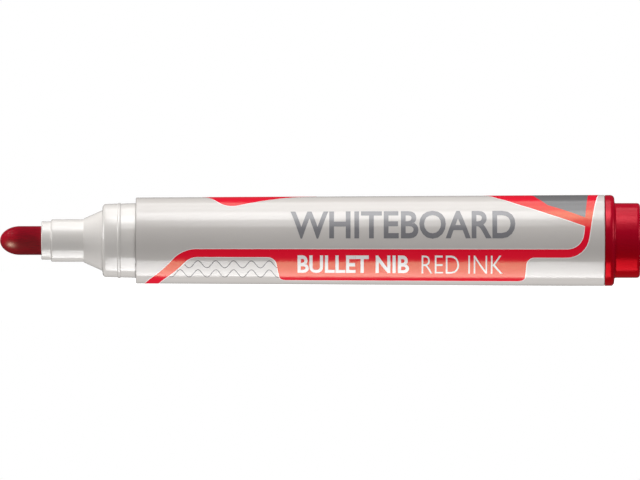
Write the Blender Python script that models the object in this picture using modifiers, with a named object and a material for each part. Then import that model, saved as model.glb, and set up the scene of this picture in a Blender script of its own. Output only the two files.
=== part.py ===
"""Whiteboard marker with a bullet nib, uncapped and lying on its side.

Frame, in metres: +X runs from the nib to the end plug and +Z is up. The origin is on the surface
that the marker lies on, under the middle of its length.

Every round piece is turned about its own local Z, which the marker_axis empty lays along +X.
An outline is a list of (distance along the axis, radius): it runs from the nib end to the plug
end along the outside, and a hollow piece's outline comes back along the inside.
"""

import math

import bmesh
import bpy
from mathutils import Matrix

MM = 0.001

# Round pieces
SEGMENTS = 40
ARC_STEPS = 3
NOSE_STEPS = 8
JOIN_DISTANCE = 0.01 * MM
SHARP_ANGLE = math.radians(25)

# Clearances between pieces
PUSH_FIT = 0.05 * MM
FREE_GAP = 0.3 * MM

# Barrel, a tube that widens towards its rear
BARREL_LENGTH = 92.7 * MM
BARREL_REAR_RADIUS = 9.0 * MM
BARREL_TAPER = 0.5 * MM
BARREL_WALL = 1.4 * MM
EDGE_BREAK = 0.2 * MM
REBATE_DEPTH = 0.3 * MM
RIB_COUNT = 6
RIB_WIDTH = 0.9 * MM
RIB_HEIGHT = 0.55 * MM
RIB_ROOT = 0.7 * MM
RIB_END_GAP = 1.0 * MM

# Nib
NIB_RADIUS = 2.85 * MM
NIB_NOSE_LENGTH = 4.0 * MM
NIB_EXPOSED = 8.2 * MM
NIB_IN_CORE = 6.5 * MM
NIB_TAIL_LENGTH = 5.0 * MM
NIB_TAIL_RADIUS = 1.8 * MM

# Nib section, the stepped nose that holds the nib
LIP_WALL = 0.9 * MM
LIP_LENGTH = 1.9 * MM
SLEEVE_STEP = 0.4 * MM
SLEEVE_LENGTH = 6.5 * MM
SLEEVE_ROUND = 0.3 * MM
CONE_STEP = 0.15 * MM
CONE_LENGTH = 3.7 * MM
SHOULDER_STEP = 1.2 * MM
SHOULDER_ROUND = 0.7 * MM
CAP_STEP = 1.1 * MM
SEAT_DRAFT = 0.2 * MM
SEAT_LENGTH = 6.6 * MM
BEAD_FROM_SHOULDER = 3.3 * MM
BEAD_HEIGHT = 0.14 * MM
BEAD_HALF_WIDTH = 0.35 * MM
SPIGOT_LENGTH = 8.0 * MM
SPIGOT_CHAMFER = 0.3 * MM
SECTION_WALL = 1.2 * MM
GUIDE_WALL = 1.1 * MM
VENT_COUNT = 3
VENT_WIDTH = 0.8 * MM
VENT_DEPTH = 0.35 * MM

# Ink reservoir
WRAP_THICKNESS = 0.15 * MM

# End plug
FLANGE_THICKNESS = 1.9 * MM
FLANGE_ROUND = 0.8 * MM
POST_LENGTH = 5.1 * MM
POST_ROUND = 0.65 * MM
POST_FILLET = 0.3 * MM
PLUG_SPIGOT_LENGTH = 10.0 * MM
PLUG_WALL = 1.3 * MM
STOP_RIB_COUNT = 4
STOP_RIB_WIDTH = 1.0 * MM
STOP_RIB_DEPTH = 3.0 * MM

# Stations along the axis, from the nib's tip
SECTION_START = NIB_EXPOSED
SHOULDER = SECTION_START + LIP_LENGTH + SLEEVE_LENGTH + CONE_LENGTH
BARREL_START = SHOULDER + SEAT_LENGTH
CORE_START = BARREL_START + SPIGOT_LENGTH + FREE_GAP
NIB_END = CORE_START + NIB_IN_CORE
PLUG_START = BARREL_START + BARREL_LENGTH + PUSH_FIT
CORE_END = PLUG_START - PLUG_SPIGOT_LENGTH - FREE_GAP
MARKER_END = PLUG_START + FLANGE_THICKNESS + POST_LENGTH
RIB_START = CORE_START - BARREL_START + RIB_END_GAP
RIB_END = CORE_END - BARREL_START - RIB_END_GAP

# A flat of the widest round lies on the ground, half a segment away from its corners
FIRST_CORNER = math.pi / SEGMENTS
AXIS_HEIGHT = BARREL_REAR_RADIUS * math.cos(FIRST_CORNER)


def barrel_radius(along):
    """Outside radius of the barrel, at a distance from its front face."""
    return BARREL_REAR_RADIUS - BARREL_TAPER * (1 - along / BARREL_LENGTH)


def bore_radius(along):
    """Inside radius of the barrel, at a distance from its front face."""
    return barrel_radius(along) - BARREL_WALL


# Radii that follow from the fits. The cap's rim is flush with the barrel, and it fits the post too.
NIB_BORE_RADIUS = NIB_RADIUS + PUSH_FIT
SEAT_REAR_RADIUS = barrel_radius(0.0) - CAP_STEP
POST_RADIUS = SEAT_REAR_RADIUS
REBATE_RADIUS = SEAT_REAR_RADIUS + PUSH_FIT
RIB_INNER_RADIUS = min(bore_radius(RIB_START), bore_radius(RIB_END)) - RIB_HEIGHT
WRAP_RADIUS = RIB_INNER_RADIUS - PUSH_FIT
CORE_RADIUS = WRAP_RADIUS - WRAP_THICKNESS - PUSH_FIT


def arc(centre_along, centre_radius, radius, start_deg, end_deg):
    """Points of a round corner. 0 degrees points away from the axis and 90 towards the plug."""
    points = []
    for step in range(ARC_STEPS + 1):
        angle = math.radians(start_deg + (end_deg - start_deg) * step / ARC_STEPS)
        along = centre_along + radius * math.sin(angle)
        points.append((along, centre_radius + radius * math.cos(angle)))
    return points


def clear_scene():
    for obj in list(bpy.data.objects):
        bpy.data.objects.remove(obj, do_unlink=True)


def new_collection(name):
    collection = bpy.data.collections.new(name)
    bpy.context.scene.collection.children.link(collection)
    return collection


def plastic(name, color, roughness):
    """A Principled BSDF with the piece's colour and gloss."""
    material = bpy.data.materials.new(name)
    material.use_nodes = True
    shader = material.node_tree.nodes["Principled BSDF"]
    shader.inputs["Base Color"].default_value = (*color, 1.0)
    shader.inputs["Roughness"].default_value = roughness
    shader.inputs["Metallic"].default_value = 0.0
    return material


def apply_modifiers(obj):
    """Replaces the object's mesh by the one that its modifiers make."""
    bpy.context.view_layer.update()
    graph = bpy.context.evaluated_depsgraph_get()
    mesh = bpy.data.meshes.new_from_object(obj.evaluated_get(graph))
    obj.modifiers.clear()
    obj.data = mesh


def turned(name, outline, closed, collection):
    """A mesh object turned about its local Z from an outline of (along, radius) points."""
    across = math.cos(FIRST_CORNER)
    up = math.sin(FIRST_CORNER)
    points = [(radius * across, radius * up, along) for along, radius in reversed(outline)]
    edges = [(i, i + 1) for i in range(len(points) - 1)]
    if closed:
        edges.append((len(points) - 1, 0))
    mesh = bpy.data.meshes.new(name)
    mesh.from_pydata(points, edges, [])
    obj = bpy.data.objects.new(name, mesh)
    collection.objects.link(obj)
    screw = obj.modifiers.new("turn", "SCREW")
    screw.axis = "Z"
    screw.angle = 2 * math.pi
    screw.steps = SEGMENTS
    screw.render_steps = SEGMENTS
    screw.use_merge_vertices = True
    screw.merge_threshold = JOIN_DISTANCE
    apply_modifiers(obj)
    return obj


def radial_bars(collection, count, width, inner, outer_at, start, end):
    """One mesh of bars along the axis, each from the inner radius out to outer_at(along)."""
    cage = bmesh.new()
    for index in range(count):
        bar = bmesh.ops.create_cube(cage, size=1.0)["verts"]
        for corner in bar:
            along = start if corner.co.z < 0 else end
            out = inner if corner.co.x < 0 else outer_at(along)
            corner.co = (out, corner.co.y * width, along)
        turn = Matrix.Rotation(2 * math.pi * index / count, 3, "Z")
        bmesh.ops.rotate(cage, cent=(0.0, 0.0, 0.0), matrix=turn, verts=bar)
    mesh = bpy.data.meshes.new("bars")
    cage.to_mesh(mesh)
    cage.free()
    bars = bpy.data.objects.new("bars", mesh)
    collection.objects.link(bars)
    bars.hide_render = True
    bars.display_type = "WIRE"
    return bars


def combine(obj, tool, operation):
    """Cuts the tool from the object or joins it on, and keeps the result as plain mesh."""
    boolean = obj.modifiers.new(operation.lower(), "BOOLEAN")
    boolean.operation = operation
    boolean.solver = "EXACT"
    boolean.object = tool
    apply_modifiers(obj)
    bpy.data.objects.remove(tool, do_unlink=True)


def place(obj, axis, station, material):
    """Puts a finished piece on the marker's axis, shaded smooth on its round faces."""
    obj.parent = axis
    obj.location = (0.0, 0.0, station)
    obj.data.materials.clear()
    obj.data.materials.append(material)
    obj.data.shade_smooth()
    obj.data.set_sharp_from_angle(angle=SHARP_ANGLE)


def make_nib(parts):
    """Bullet-shaped felt nib: a half-ellipse nose, a plain shank and a tapered tail."""
    outline = []
    for step in range(NOSE_STEPS + 1):
        angle = math.radians(90) * step / NOSE_STEPS
        along = NIB_NOSE_LENGTH * (1 - math.cos(angle))
        outline.append((along, NIB_RADIUS * math.sin(angle)))
    outline += [
        (NIB_END - NIB_TAIL_LENGTH, NIB_RADIUS),
        (NIB_END, NIB_TAIL_RADIUS),
        (NIB_END, 0.0),
    ]
    return turned("nib", outline, False, parts)


def make_nib_section(parts, cutters):
    """Stepped nose that grips the nib, seats the cap and plugs into the barrel's front."""
    sleeve_start = LIP_LENGTH
    cone_start = sleeve_start + SLEEVE_LENGTH
    shoulder = cone_start + CONE_LENGTH
    bead_middle = shoulder + BEAD_FROM_SHOULDER
    seat_end = shoulder + SEAT_LENGTH
    neck_end = seat_end + REBATE_DEPTH - PUSH_FIT
    spigot_end = seat_end + SPIGOT_LENGTH

    lip_radius = NIB_BORE_RADIUS + LIP_WALL
    sleeve_radius = lip_radius + SLEEVE_STEP
    guide_radius = NIB_BORE_RADIUS + GUIDE_WALL
    seat_front_radius = SEAT_REAR_RADIUS - SEAT_DRAFT
    cone_rear_radius = seat_front_radius - SHOULDER_STEP

    def seat_radius(along):
        return SEAT_REAR_RADIUS - SEAT_DRAFT * (seat_end - along) / SEAT_LENGTH

    def spigot_radius(along):
        return bore_radius(along - seat_end) - PUSH_FIT

    hollow_radius = min(spigot_radius(neck_end), spigot_radius(spigot_end)) - SECTION_WALL
    lead_start = spigot_end - SPIGOT_CHAMFER

    outline = [
        (0.0, NIB_BORE_RADIUS),
        (0.0, lip_radius - EDGE_BREAK),
        (EDGE_BREAK, lip_radius),
        (sleeve_start, lip_radius),
    ]
    outline += arc(sleeve_start + SLEEVE_ROUND, sleeve_radius - SLEEVE_ROUND, SLEEVE_ROUND, -90, 0)
    outline += [
        (cone_start, sleeve_radius),
        (cone_start, sleeve_radius + CONE_STEP),
        (shoulder, cone_rear_radius),
    ]
    corner_radius = seat_front_radius - SHOULDER_ROUND
    outline += arc(shoulder + SHOULDER_ROUND, corner_radius, SHOULDER_ROUND, -90, 0)
    for step in range(ARC_STEPS + 2):
        angle = math.pi * step / (ARC_STEPS + 1)
        along = bead_middle - BEAD_HALF_WIDTH * math.cos(angle)
        outline.append((along, seat_radius(along) + BEAD_HEIGHT * math.sin(angle)))
    outline += [
        (seat_end, SEAT_REAR_RADIUS),
        (neck_end, SEAT_REAR_RADIUS),
        (neck_end, spigot_radius(neck_end)),
        (lead_start, spigot_radius(lead_start)),
        (spigot_end, spigot_radius(spigot_end) - SPIGOT_CHAMFER),
        (spigot_end, hollow_radius),
        (shoulder + SECTION_WALL, hollow_radius),
        (cone_start + SECTION_WALL, guide_radius),
        (spigot_end, guide_radius),
        (spigot_end, NIB_BORE_RADIUS),
    ]
    section = turned("nib_section", outline, True, parts)

    vents = radial_bars(
        cutters,
        VENT_COUNT,
        VENT_WIDTH,
        NIB_BORE_RADIUS - VENT_WIDTH,
        lambda along: NIB_BORE_RADIUS + VENT_DEPTH,
        -FREE_GAP,
        spigot_end + FREE_GAP,
    )
    combine(section, vents, "DIFFERENCE")
    return section


def make_barrel(parts, cutters):
    """Tapered tube with a front rebate for the nib section and ribs that centre the reservoir."""
    rear = BARREL_LENGTH
    outline = [
        (0.0, REBATE_RADIUS),
        (0.0, barrel_radius(0.0) - EDGE_BREAK),
        (EDGE_BREAK, barrel_radius(EDGE_BREAK)),
        (rear - EDGE_BREAK, barrel_radius(rear - EDGE_BREAK)),
        (rear, barrel_radius(rear) - EDGE_BREAK),
        (rear, bore_radius(rear)),
        (REBATE_DEPTH, bore_radius(REBATE_DEPTH)),
        (REBATE_DEPTH, REBATE_RADIUS),
    ]
    barrel = turned("barrel", outline, True, parts)

    ribs = radial_bars(
        cutters,
        RIB_COUNT,
        RIB_WIDTH,
        RIB_INNER_RADIUS,
        lambda along: bore_radius(along) + RIB_ROOT,
        RIB_START,
        RIB_END,
    )
    combine(barrel, ribs, "UNION")
    return barrel


def make_reservoir_core(parts):
    """Round fibre bundle that holds the ink, with a socket for the nib's tail."""
    length = CORE_END - CORE_START
    mouth = NIB_RADIUS + PUSH_FIT
    socket_end = NIB_IN_CORE + PUSH_FIT
    outline = [
        (socket_end, 0.0),
        (socket_end, NIB_TAIL_RADIUS + PUSH_FIT),
        (NIB_IN_CORE - NIB_TAIL_LENGTH, mouth),
        (0.0, mouth),
        (0.0, CORE_RADIUS),
        (length, CORE_RADIUS),
        (length, 0.0),
    ]
    return turned("reservoir_core", outline, False, parts)


def make_reservoir_wrap(parts):
    """Plastic film tube round the fibre bundle, open at both ends."""
    length = CORE_END - CORE_START
    inner = WRAP_RADIUS - WRAP_THICKNESS
    outline = [(0.0, inner), (0.0, WRAP_RADIUS), (length, WRAP_RADIUS), (length, inner)]
    return turned("reservoir_wrap", outline, True, parts)


def make_end_plug(parts, cutters):
    """Hollow plug: a spigot in the barrel, a flange at its mouth and a post for the cap."""
    mouth = -PLUG_SPIGOT_LENGTH
    lead_end = mouth + SPIGOT_CHAMFER
    post_end = FLANGE_THICKNESS + POST_LENGTH
    flange_radius = BARREL_REAR_RADIUS
    post_hollow = POST_RADIUS - PLUG_WALL

    def spigot_radius(along):
        return bore_radius(BARREL_LENGTH + along) - PUSH_FIT

    def hollow_radius(along):
        mouth_hollow = spigot_radius(mouth) - PLUG_WALL
        return post_hollow + (mouth_hollow - post_hollow) * along / mouth

    outline = [
        (post_end - PLUG_WALL, 0.0),
        (post_end - PLUG_WALL, post_hollow),
        (0.0, post_hollow),
        (mouth, hollow_radius(mouth)),
        (mouth, spigot_radius(mouth) - SPIGOT_CHAMFER),
        (lead_end, spigot_radius(lead_end)),
        (0.0, spigot_radius(0.0)),
        (0.0, flange_radius - EDGE_BREAK),
        (EDGE_BREAK, flange_radius),
    ]
    flange_corner = FLANGE_THICKNESS - FLANGE_ROUND
    outline += arc(flange_corner, flange_radius - FLANGE_ROUND, FLANGE_ROUND, 0, 90)
    outline += arc(FLANGE_THICKNESS + POST_FILLET, POST_RADIUS + POST_FILLET, POST_FILLET, 270, 180)
    outline += arc(post_end - POST_ROUND, POST_RADIUS - POST_ROUND, POST_ROUND, 0, 90)
    outline.append((post_end, 0.0))
    plug = turned("end_plug", outline, False, parts)

    stop_ribs = radial_bars(
        cutters,
        STOP_RIB_COUNT,
        STOP_RIB_WIDTH,
        post_hollow - STOP_RIB_DEPTH,
        lambda along: hollow_radius(along) + 0.5 * PLUG_WALL,
        lead_end,
        0.0,
    )
    combine(plug, stop_ribs, "UNION")
    return plug


def main():
    clear_scene()
    parts = new_collection("whiteboard_marker")
    cutters = new_collection("cutters")

    axis = bpy.data.objects.new("marker_axis", None)
    parts.objects.link(axis)
    axis.location = (-MARKER_END / 2, 0.0, AXIS_HEIGHT)
    axis.rotation_euler = (0.0, math.radians(90), 0.0)

    white_plastic = plastic("white_plastic", (0.80, 0.80, 0.79), 0.25)
    nose_plastic = plastic("nose_plastic", (0.84, 0.84, 0.83), 0.3)
    red_plastic = plastic("red_plastic", (0.55, 0.01, 0.03), 0.25)
    inked_felt = plastic("inked_felt", (0.36, 0.005, 0.02), 0.55)
    ink_fibre = plastic("ink_fibre", (0.45, 0.02, 0.04), 0.9)
    clear_film = plastic("clear_film", (0.85, 0.80, 0.80), 0.35)

    place(make_nib(parts), axis, 0.0, inked_felt)
    place(make_nib_section(parts, cutters), axis, SECTION_START, nose_plastic)
    place(make_barrel(parts, cutters), axis, BARREL_START, white_plastic)
    place(make_reservoir_core(parts), axis, CORE_START, ink_fibre)
    place(make_reservoir_wrap(parts), axis, CORE_START, clear_film)
    place(make_end_plug(parts, cutters), axis, PLUG_START, red_plastic)


main()
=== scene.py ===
"""Whiteboard marker, uncapped and lying on its side: its looks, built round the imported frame.

Lengths are in metres: +X runs from the nib to the end plug, -Y faces the viewer and +Z is up.
A turned piece is drawn as an outline of (x, radius) points and swept round the marker's axis.
The label is drawn flat, as (distance behind the barrel's front, distance round the barrel), with
zero on the line that faces the viewer and plus upwards, and is then wrapped round the barrel.
"""

import math

import bmesh
import bpy
from mathutils import Matrix, Vector


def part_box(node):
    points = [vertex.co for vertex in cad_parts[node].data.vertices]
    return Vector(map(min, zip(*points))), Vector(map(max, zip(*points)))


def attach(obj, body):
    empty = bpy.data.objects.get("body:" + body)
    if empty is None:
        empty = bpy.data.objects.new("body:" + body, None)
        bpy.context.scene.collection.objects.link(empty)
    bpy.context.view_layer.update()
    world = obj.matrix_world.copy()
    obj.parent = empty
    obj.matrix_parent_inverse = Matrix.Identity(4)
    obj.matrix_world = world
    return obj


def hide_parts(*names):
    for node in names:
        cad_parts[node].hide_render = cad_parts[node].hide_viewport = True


bl_info = {
    "name": "Whiteboard marker",
    "version": (1, 0, 0),
    "blender": (4, 5, 0),
    "location": "3D View > Sidebar > Marker",
    "description": "Builds a whiteboard marker piece by piece on its packed frame",
    "category": "Add Mesh",
}

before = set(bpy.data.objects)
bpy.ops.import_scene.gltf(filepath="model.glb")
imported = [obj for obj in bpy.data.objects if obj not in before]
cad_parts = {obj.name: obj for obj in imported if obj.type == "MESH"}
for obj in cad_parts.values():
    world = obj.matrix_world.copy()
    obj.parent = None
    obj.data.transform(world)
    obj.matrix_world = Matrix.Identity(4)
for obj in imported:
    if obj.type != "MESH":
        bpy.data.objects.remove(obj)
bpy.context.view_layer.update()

MM = 0.001
CAD_FLATS = 40
SIDES = 160
ARC_STEPS = 8
SHARP_ANGLE = math.radians(35)
WELD = 0.0001 * MM
SWEEP_RADIUS = 1.0 * MM
STRIP = 0.45 * MM
INK_SUNK = 0.01 * MM
OVERRUN = 1.0 * MM
REBATE_DEPTH = 0.3 * MM
BEAD_HALF_LENGTH = 0.35 * MM
BEAD_CREST_SHARE = 0.4
GUIDE_THINNING = 0.1 * MM
GATE_SLOPE = 0.2 * MM
NOSE_STEPS = 28
WAVE_POINTS = 170
LETTER_STEPS = 4
TITLE_WEIGHT = 0.02
BOLD_WEIGHT = 0.025
LIGHT_WEIGHT = -0.012
POLYESTER_IOR = 1.62
RED_SHEEN = "#E9FFC8"
WHITE = "#FFFFFF"
PAPER = "#F9F9F9"
SHADOW_REACH = 60 * MM
WHITE_REACH = 400 * MM
PAPER_GLOW = 0.3

# Roundings of the moulded edges, from the tightest to the softest.
REBATE_FOOT_ROUND = 0.02 * MM
FOOT_ROUND = 0.04 * MM
STEP_ROUND = 0.05 * MM
FINE_ROUND = 0.06 * MM
MOUTH_ROUND = 0.08 * MM
CREST_ROUND = 0.1 * MM
CONE_ROUND = 0.12 * MM
RIM_ROUND = 0.15 * MM
GUIDE_ROUND = 0.2 * MM
LIP_ROUND = 0.22 * MM
SOFT_ROUND = 0.3 * MM
SLEEVE_ROUND = 0.32 * MM
LEAD_IN_ROUND = 0.4 * MM
HOLLOW_ROUND = 0.5 * MM

# Heights of the other inks as shares of the red one's, so that no two layers lie level.
UNDERLAY_SHARE = 0.4
PATCH_SHARE = 0.7
WAVE_SHARE = 1.6
WORDS_LOW, WORDS_HIGH = 0.5, 2.0

# The numbers of a colour mix's inputs, whose names aren't unique.
SHARE, DARK, LIGHT = 0, 6, 7


def frame_ends(name):
    """The x of a frame node's front and rear."""
    low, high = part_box(name)
    return low.x, high.x


def frame_radius(name):
    """The radius of a frame node at the corners between its flats."""
    low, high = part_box(name)
    return (high.z - low.z) / 2 / math.cos(math.pi / CAD_FLATS)


NIB_FRONT, NIB_REAR = frame_ends("nib")
SECTION_FRONT, SECTION_REAR = frame_ends("nib_section")
BARREL_FRONT, BARREL_REAR = frame_ends("barrel")
CORE_FRONT, CORE_REAR = frame_ends("reservoir_core")
PLUG_MOUTH, PLUG_REAR = frame_ends("end_plug")
AXIS_HEIGHT = (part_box("end_plug")[0].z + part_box("end_plug")[1].z) / 2


# ------------ settings


def linear(hex_colour):
    """Linear red, green and blue of an sRGB hex colour."""
    channels = [int(hex_colour[i : i + 2], 16) / 255 for i in (1, 3, 5)]
    return [c / 12.92 if c <= 0.04045 else ((c + 0.055) / 1.055) ** 2.4 for c in channels]


def length(name, description, default):
    return bpy.props.FloatProperty(
        name=name, description=description, default=default, min=0.0, precision=5, unit="LENGTH"
    )


def colour(name, description, hex_colour):
    start = linear(hex_colour)
    return bpy.props.FloatVectorProperty(
        name=name, description=description, default=start, min=0.0, max=1.0, subtype="COLOR"
    )


class MarkerBarrelSizes(bpy.types.PropertyGroup):
    front_radius: length("Front radius", "Barrel radius at its front face", 8.5 * MM)
    rear_radius: length("Rear radius", "Barrel radius at its rear face", frame_radius("barrel"))
    wall: length("Wall", "Thickness of the tube's wall", 1.4 * MM)
    edge: length("Edge", "Rounding of the tube's outer edges", 0.18 * MM)
    rib_width: length("Rib width", "Width of each rib inside the tube", 0.9 * MM)
    rib_inset: length("Rib inset", "Distance of the ribs from the reservoir's ends", 1.0 * MM)
    rib_count: bpy.props.IntProperty(
        name="Ribs", description="Ribs that centre the reservoir", default=6, min=1
    )


class MarkerNoseSizes(bpy.types.PropertyGroup):
    lip_radius: length("Lip radius", "Radius of the ring round the nib's mouth", 3.8 * MM)
    lip_length: length("Lip length", "Length of the ring round the nib's mouth", 1.9 * MM)
    sleeve_radius: length("Sleeve radius", "Radius of the straight sleeve", 4.2 * MM)
    sleeve_length: length("Sleeve length", "Length of the straight sleeve", 6.5 * MM)
    cone_front: length("Cone front radius", "Radius where the cone starts", 4.35 * MM)
    cone_rear: length("Cone rear radius", "Radius where the cone meets the shoulder", 6.0 * MM)
    cone_length: length("Cone length", "Length of the cone", 3.7 * MM)
    seat_front: length("Seat front radius", "Radius of the cap seat at the shoulder", 7.2 * MM)
    seat_rear: length("Seat rear radius", "Radius of the cap seat at the barrel", 7.4 * MM)
    shoulder_round: length("Shoulder round", "Rounding of the shoulder", 0.7 * MM)
    bead_offset: length("Bead offset", "Distance of the snap bead behind the shoulder", 3.3 * MM)
    bead_height: length("Bead height", "Height of the snap bead", 0.14 * MM)
    wall: length("Wall", "Thickness of the moulding", 1.2 * MM)
    vent_width: length("Vent width", "Width of each air groove beside the nib", 0.8 * MM)
    vent_depth: length("Vent depth", "Depth of each air groove beside the nib", 0.35 * MM)
    vent_count: bpy.props.IntProperty(
        name="Vents", description="Air grooves beside the nib", default=3, min=1
    )


class MarkerCoreSizes(bpy.types.PropertyGroup):
    nib_radius: length("Nib radius", "Radius of the felt nib", frame_radius("nib"))
    nose_length: length("Nose length", "Length of the nib's rounded nose", 4.0 * MM)
    tail_length: length("Tail length", "Length of the nib's tapered tail", 5.0 * MM)
    tail_radius: length("Tail radius", "Radius of the nib's rear end", 1.8 * MM)
    core_radius: length("Core radius", "Radius of the fibre bundle", frame_radius("reservoir_core"))
    film_radius: length("Film radius", "Radius of the film", frame_radius("reservoir_wrap"))
    film: length("Film", "Thickness of the film round the fibre bundle", 0.15 * MM)
    fit: length("Fit", "Clearance round the nib and the spigots", 0.05 * MM)


class MarkerPlugSizes(bpy.types.PropertyGroup):
    flange_thickness: length("Flange", "Thickness of the plug's flange", 1.9 * MM)
    flange_round: length("Flange round", "Rounding of the flange's rear edge", 0.8 * MM)
    post_radius: length("Post radius", "Radius of the post that the cap fits", 7.4 * MM)
    post_round: length("Post round", "Rounding of the post's end", 0.65 * MM)
    fillet: length("Fillet", "Fillet between the flange and the post", 0.3 * MM)
    wall: length("Wall", "Thickness of the plug's wall", 1.3 * MM)
    rib_width: length("Rib width", "Width of the stop ribs inside the plug", 1.0 * MM)
    rib_depth: length("Rib depth", "Reach of the stop ribs towards the axis", 3.0 * MM)
    rib_inset: length("Rib inset", "Distance of the ribs behind the plug's mouth", 0.3 * MM)
    rib_count: bpy.props.IntProperty(
        name="Stop ribs", description="Ribs that press on the reservoir", default=4, min=1
    )
    gate_radius: length("Gate radius", "Radius of the dimple left by the mould's gate", 0.9 * MM)
    gate_depth: length("Gate depth", "Depth of the dimple left by the mould's gate", 0.15 * MM)


class MarkerLabelSizes(bpy.types.PropertyGroup):
    ink: length("Ink", "Height of the printed ink above the barrel", 0.02 * MM)
    rim: length("Rim", "Width of the white rim round the red print", 0.17 * MM)
    band_top: length("Band top", "Distance of the band's top edge below the middle", 1.74 * MM)
    band_bottom: length("Band bottom", "Distance of the band's lower edge below it", 3.41 * MM)
    panel_bottom: length("Panel bottom", "Distance of the panel's lower edge below it", 9.85 * MM)
    title: length("Title height", "Height of the large capitals", 6.0 * MM)
    title_left: length("Title left", "Start of the large capitals", 30.6 * MM)
    title_right: length("Title right", "End of the large capitals", 75.0 * MM)
    title_rise: length("Title rise", "Height of their middle above the facing line", 3.35 * MM)
    caption_left: length("Caption left", "Start of the bold words on the panel", 32.0 * MM)
    caption_gap: length("Caption gap", "End of the bold words", 54.0 * MM)
    caption_space: length("Caption space", "Space between bold and light words", 2.5 * MM)
    caption_right: length("Caption right", "End of the light words", 72.5 * MM)
    caption_drop: length("Caption drop", "Distance of their middle below the line", 5.1 * MM)
    caption: length("Caption height", "Height of the capitals on the panel", 4.2 * MM)
    wave_period: length("Wave period", "Distance from crest to crest of the lines", 3.52 * MM)
    wave_crest: length("Wave crest", "Distance of a crest behind the barrel's front", 12.32 * MM)
    wave_width: length("Wave width", "Width of the wavy lines", 0.15 * MM)


class MarkerColours(bpy.types.PropertyGroup):
    barrel: colour("Barrel", "White plastic of the barrel", "#D0CBC7")
    nose: colour("Nose", "White plastic of the nose", "#D2CECA")
    plug: colour("Plug", "Red plastic of the end plug", "#A90823")
    nib: colour("Nib", "Felt soaked with red ink", "#B00022")
    red_ink: colour("Red ink", "Red print", "#F81435")
    grey_ink: colour("Grey ink", "Grey print", "#6F6E6F")
    line_ink: colour("Line ink", "Thin wavy lines", "#4E4D50")
    title_ink: colour("Title ink", "Large capitals", "#828185")
    white_ink: colour("White ink", "Capitals on the panel", "#F6F4F3")
    fibre: colour("Fibre", "Fibre bundle of the reservoir", "#B42638")
    film: colour("Film", "Film round the fibre bundle", "#E9DFDE")


# ------------ node helpers


def feed(tree, node, inputs):
    """Sets a node's inputs to plain values, or links them to sockets or other nodes' first output."""
    for name, value in inputs.items():
        if isinstance(value, bpy.types.Node):
            value = next(output for output in value.outputs if output.enabled)
        if isinstance(value, bpy.types.NodeSocket):
            tree.links.new(value, node.inputs[name])
        else:
            node.inputs[name].default_value = value


def add_node(tree, kind, inputs=None, **settings):
    """Adds a node with its settings and feeds its inputs."""
    made = tree.nodes.new(kind)
    for name, value in settings.items():
        setattr(made, name, value)
    feed(tree, made, inputs or {})
    return made


def new_shape_tree(name, **inputs):
    """A Geometry Nodes tree with these named inputs, and the sockets that bring them in."""
    tree = bpy.data.node_groups.new(name, "GeometryNodeTree")
    for label, kind in {"geometry": "Geometry", **inputs, "material": "Material"}.items():
        title = label.replace("_", " ").capitalize()
        tree.interface.new_socket(name=title, in_out="INPUT", socket_type="NodeSocket" + kind)
    tree.interface.new_socket(name="Geometry", in_out="OUTPUT", socket_type="NodeSocketGeometry")
    return tree, add_node(tree, "NodeGroupInput").outputs


def finish_tree(tree, given, geometry):
    """Ends a tree in Realize Instances and Set Material."""
    real = add_node(tree, "GeometryNodeRealizeInstances", {"Geometry": geometry})
    painted = {"Geometry": real, "Material": given["Material"]}
    last = add_node(tree, "GeometryNodeSetMaterial", painted)
    add_node(tree, "NodeGroupOutput", {"Geometry": last})
    return tree


def turning_tree():
    """Sweeps an outline of (x, radius) points round the marker's axis."""
    tree, given = new_shape_tree("turn_outline", sides="Int", height="Float")
    upright = {
        "Geometry": given["Geometry"],
        "Rotation": (0.0, 0.0, -math.pi / 2),
        "Translation": (-SWEEP_RADIUS, 0.0, 0.0),
    }
    outline = add_node(tree, "GeometryNodeTransform", upright)
    profile = add_node(tree, "GeometryNodeMeshToCurve", {"Mesh": outline})
    ring = {"Resolution": given["Sides"], "Radius": SWEEP_RADIUS}
    path = add_node(tree, "GeometryNodeCurvePrimitiveCircle", ring)
    swept = add_node(tree, "GeometryNodeCurveToMesh", {"Curve": path, "Profile Curve": profile})
    welded = add_node(tree, "GeometryNodeMergeByDistance", {"Geometry": swept, "Distance": WELD})
    laid = {
        "Geometry": welded,
        "Rotation": (0.0, math.pi / 2, 0.0),
        "Translation": add_node(tree, "ShaderNodeCombineXYZ", {"Z": given["Height"]}),
    }
    return finish_tree(tree, given, add_node(tree, "GeometryNodeTransform", laid))


def bars_tree():
    """Sets equal bars round the marker's axis, each running along it."""
    tree, given = new_shape_tree(
        "bars_round_axis", count="Int", size="Vector", middle="Vector", height="Float"
    )
    block = add_node(tree, "GeometryNodeMeshCube", {"Size": given["Size"]})
    bar = {"Geometry": block, "Translation": given["Middle"]}
    on_axis = add_node(tree, "ShaderNodeCombineXYZ", {"Z": given["Height"]})
    row = {"Count": given["Count"], "Position": on_axis}
    points = add_node(tree, "GeometryNodePoints", row)
    full_turn = {0: 2 * math.pi, 1: given["Count"]}
    step = add_node(tree, "ShaderNodeMath", full_turn, operation="DIVIDE")
    index = add_node(tree, "GeometryNodeInputIndex")
    angle = add_node(tree, "ShaderNodeMath", {0: index, 1: step}, operation="MULTIPLY")
    spread = {
        "Points": points,
        "Instance": add_node(tree, "GeometryNodeTransform", bar),
        "Rotation": add_node(tree, "ShaderNodeCombineXYZ", {"X": angle}),
    }
    return finish_tree(tree, given, add_node(tree, "GeometryNodeInstanceOnPoints", spread))


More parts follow.
